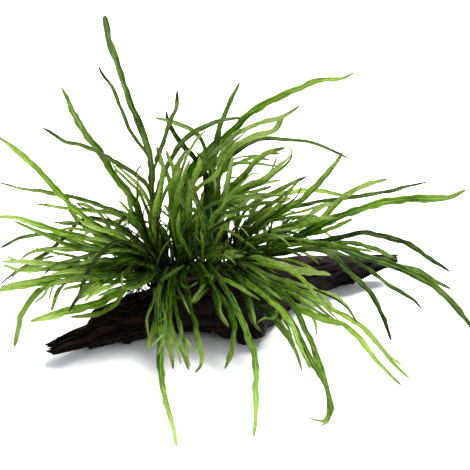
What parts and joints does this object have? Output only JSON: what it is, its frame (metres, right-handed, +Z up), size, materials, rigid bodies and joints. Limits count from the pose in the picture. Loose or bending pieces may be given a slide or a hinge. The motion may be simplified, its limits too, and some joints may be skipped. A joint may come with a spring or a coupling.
{
  "type": "java fern on driftwood",
  "caption": "Narrow-leaved java fern grown over a dark lying piece of driftwood, its long forked fronds arching out all round from creeping rhizomes.",
  "frame": {"origin": "on the surface that the object rests on, in the flat sole of the driftwood's front foot", "axes": "+Z is up; +X runs to the right along the longest extent, from the wood's left end towards its right end; +Y runs back, away from the picture's viewer"},
  "size_m": [0.3088, 0.2774, 0.1994],
  "materials": {
    "driftwood": "rough, fissured along the grain",
    "rhizome": "scaly",
    "leaf": "satin"
  },
  "bodies": {
    "root": {"driftwood": "driftwood", "frond_back_1": "leaf", "frond_back_2": "leaf", "frond_back_3": "leaf", "frond_back_4": "leaf", "frond_back_5": "leaf", "frond_back_6": "leaf", "frond_back_7": "leaf", "frond_back_8": "leaf", "frond_back_9": "leaf", "frond_front_1": "leaf", "frond_front_10": "leaf", "frond_front_11": "leaf", "frond_front_12": "leaf", "frond_front_2": "leaf", "frond_front_3": "leaf", "frond_front_4": "leaf", "frond_front_5": "leaf", "frond_front_6": "leaf", "frond_front_7": "leaf", "frond_front_8": "leaf", "frond_front_9": "leaf", "frond_left_1": "leaf", "frond_left_2": "leaf", "frond_left_3": "leaf", "frond_left_4": "leaf", "frond_left_5": "leaf", "frond_left_6": "leaf", "frond_left_7": "leaf", "frond_left_8": "leaf", "frond_left_9": "leaf", "frond_right_1": "leaf", "frond_right_10": "leaf", "frond_right_11": "leaf", "frond_right_12": "leaf", "frond_right_13": "leaf", "frond_right_14": "leaf", "frond_right_2": "leaf", "frond_right_3": "leaf", "frond_right_4": "leaf", "frond_right_5": "leaf", "frond_right_6": "leaf", "frond_right_7": "leaf", "frond_right_8": "leaf", "frond_right_9": "leaf", "frond_top_1": "leaf", "frond_top_2": "leaf", "frond_top_3": "leaf", "frond_top_4": "leaf", "frond_top_5": "leaf", "frond_top_6": "leaf", "frond_top_7": "leaf", "frond_top_8": "leaf", "frond_top_9": "leaf", "rhizome_front": "rhizome", "rhizome_left": "rhizome", "rhizome_middle": "rhizome", "rhizome_right": "rhizome"}
  },
  "joints": []
}
